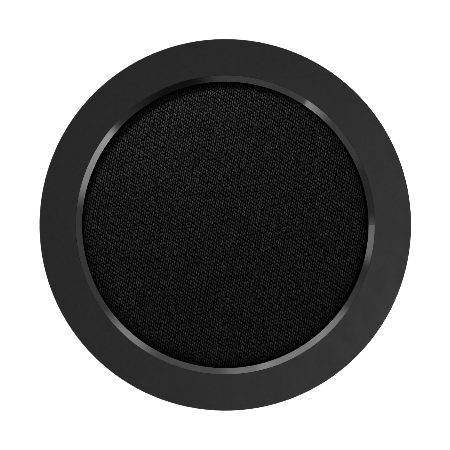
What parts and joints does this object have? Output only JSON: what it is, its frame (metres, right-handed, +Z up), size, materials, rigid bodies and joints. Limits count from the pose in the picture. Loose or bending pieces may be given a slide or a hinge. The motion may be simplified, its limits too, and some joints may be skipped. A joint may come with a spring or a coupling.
{
  "type": "smart home hub",
  "caption": "Round tabletop smart home hub: matt black puck with a polished chamfer round a sunken cloth-covered loudspeaker and a socket bay at the back.",
  "frame": {"origin": "centre of the base, at the level that the rubber foot stands on", "axes": "+Z up through the cloth-covered top, +Y towards the socket bay at the back"},
  "size_m": [0.14, 0.14, 0.044],
  "materials": {
    "shell_black": "fine satin paint on moulded plastic",
    "base_black": "fine spark-eroded texture",
    "bevel_black": "diamond-cut, dark anodised, bright",
    "cloth_black": "black open-weave loudspeaker cloth",
    "foot_rubber": "matt rubber",
    "inner_plastic": "moulded, as tooled",
    "label_grey": "blank satin label",
    "steel_plate": "zinc-plated, pressed",
    "screw_steel": "black-zinc, machined",
    "basket_steel": "black powder coat",
    "ferrite": "sintered, dull",
    "cone_paper": "pressed pulp",
    "surround_rubber": "smooth rubber",
    "spider_cloth": "resin-dipped cotton",
    "former_film": "amber film",
    "coil_copper": "enamelled copper wire",
    "foam_black": "closed-cell foam",
    "board_green": "solder mask",
    "chip_black": "moulded epoxy",
    "shield_tin": "tin-plated sheet",
    "heat_sink_alloy": "extruded, anodised",
    "gap_pad": "soft silicone pad",
    "socket_shell": "nickel-plated sheet",
    "socket_plastic": "moulded",
    "contact_gold": "gold-plated spring wire",
    "lens_clear": "clear light lens",
    "led_white": "phosphor light package",
    "guide_white": "milky diffuser",
    "wire_red": "silicone-jacketed lead",
    "cable_white": "flat film cable",
    "control_black": "moulded, satin"
  },
  "bodies": {
    "root": {"baffle_plate": "inner_plastic", "ballast_plate": "steel_plate", "base_label": "label_grey", "base_plate": "base_black", "base_screws": "screw_steel", "bevel_ring": "bevel_black", "board_antennas": "shield_tin", "board_chips": "chip_black", "body_shell": "shell_black", "cone_spider": "spider_cloth", "cone_surround": "surround_rubber", "driver_basket": "basket_steel", "driver_gasket": "foam_black", "driver_magnet": "ferrite", "driver_terminals": "contact_gold", "driver_top_plate": "steel_plate", "driver_yoke": "steel_plate", "ethernet_contacts": "contact_gold", "ethernet_jack": "socket_plastic", "ethernet_lenses": "lens_clear", "flat_cable": "cable_white", "flat_cable_sockets": "socket_plastic", "foot_ring": "foot_rubber", "grille_carrier": "inner_plastic", "grille_cloth": "cloth_black", "heat_sink": "heat_sink_alloy", "inner_screws": "screw_steel", "light_guide": "guide_white", "main_board": "board_green", "microphone_gaskets": "foam_black", "microphones": "shield_tin", "mute_switch": "chip_black", "power_inlet": "socket_shell", "power_parts": "chip_black", "power_tongue": "socket_plastic", "radio_module": "board_green", "shield_cans": "shield_tin", "small_screws": "screw_steel", "speaker_header": "cable_white", "speaker_tub": "inner_plastic", "speaker_wires": "wire_red", "status_leds": "led_white", "tact_switch": "chip_black", "thermal_pad": "gap_pad", "top_board": "board_green", "tub_gasket": "foam_black", "usb_port": "socket_shell", "usb_tongue": "socket_plastic", "wire_grommet": "surround_rubber"},
    "cone": {"driver_cone": "cone_paper", "dust_cap": "cone_paper", "coil_former": "former_film", "voice_coil": "coil_copper"},
    "button": {"pair_button": "control_black", "tact_plunger": "control_black"},
    "mute_slider": {"mute_knob": "control_black"}
  },
  "joints": [
    {"name": "cone_travel", "type": "slide", "parent": "root", "child": "cone", "axis": [0, 0, 1], "range_m": [-0.0012, 0.0012], "stiffness_N_per_m": 1500, "deforming": ["cone_surround", "cone_spider"]},
    {"name": "pair_press", "type": "slide", "parent": "root", "child": "button", "axis": [0.6157, -0.788, 0], "range_m": [0, 0.0005], "stiffness_N_per_m": 2500},
    {"name": "mute_slide", "type": "slide", "parent": "root", "child": "mute_slider", "axis": [-0.788, 0.6157, 0], "range_m": [0, 0.002]}
  ]
}
